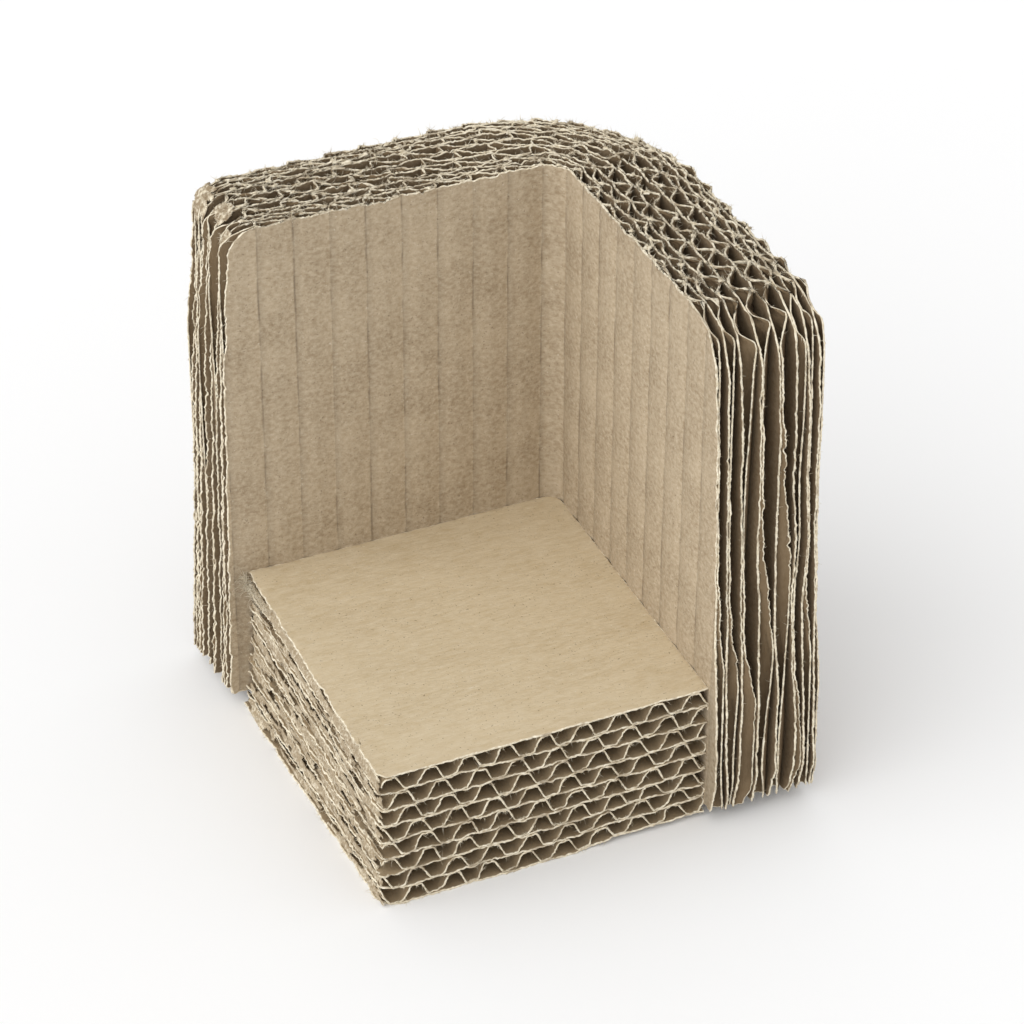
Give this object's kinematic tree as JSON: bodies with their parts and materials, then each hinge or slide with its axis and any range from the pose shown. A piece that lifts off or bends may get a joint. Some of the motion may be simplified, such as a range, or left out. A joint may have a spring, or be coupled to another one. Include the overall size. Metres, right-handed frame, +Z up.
{
  "type": "cardboard corner protector",
  "caption": "Corner protector of glued single-faced corrugated board: two tall walls bent round a corner, closed at the foot by a thick pad that a packed corner rests on.",
  "frame": {"origin": "middle of the footprint at floor level", "axes": "+X along the first wall from its free end to the bend, +Y along the second wall from its free end to the bend, +Z up"},
  "size_m": [0.097, 0.0984, 0.113],
  "materials": {
    "liner": "matte unbleached recycled liner",
    "fluting": "matte unbleached fluting paper",
    "pad_face": "smooth matte kraft liner"
  },
  "bodies": {
    "root": {"wrap_liner_1": "liner", "wrap_fluting_1": "fluting", "wrap_liner_2": "liner", "wrap_fluting_2": "fluting", "wrap_liner_3": "liner", "wrap_fluting_3": "fluting", "wrap_liner_4": "liner", "wrap_fluting_4": "fluting", "wrap_liner_5": "liner", "wrap_fluting_5": "fluting", "wrap_liner_6": "liner", "wrap_fluting_6": "fluting", "wrap_liner_7": "liner", "wrap_fluting_7": "fluting", "wrap_liner_8": "liner", "wrap_fluting_8": "fluting", "pad_bottom_liner": "liner", "pad_fluting_1": "fluting", "pad_liner_1": "liner", "pad_fluting_2": "fluting", "pad_liner_2": "liner", "pad_fluting_3": "fluting", "pad_liner_3": "liner", "pad_fluting_4": "fluting", "pad_liner_4": "liner", "pad_fluting_5": "fluting", "pad_liner_5": "liner", "pad_fluting_6": "fluting", "pad_liner_6": "liner", "pad_fluting_7": "fluting", "pad_liner_7": "liner", "pad_fluting_8": "fluting", "pad_top_liner": "pad_face"}
  },
  "joints": []
}
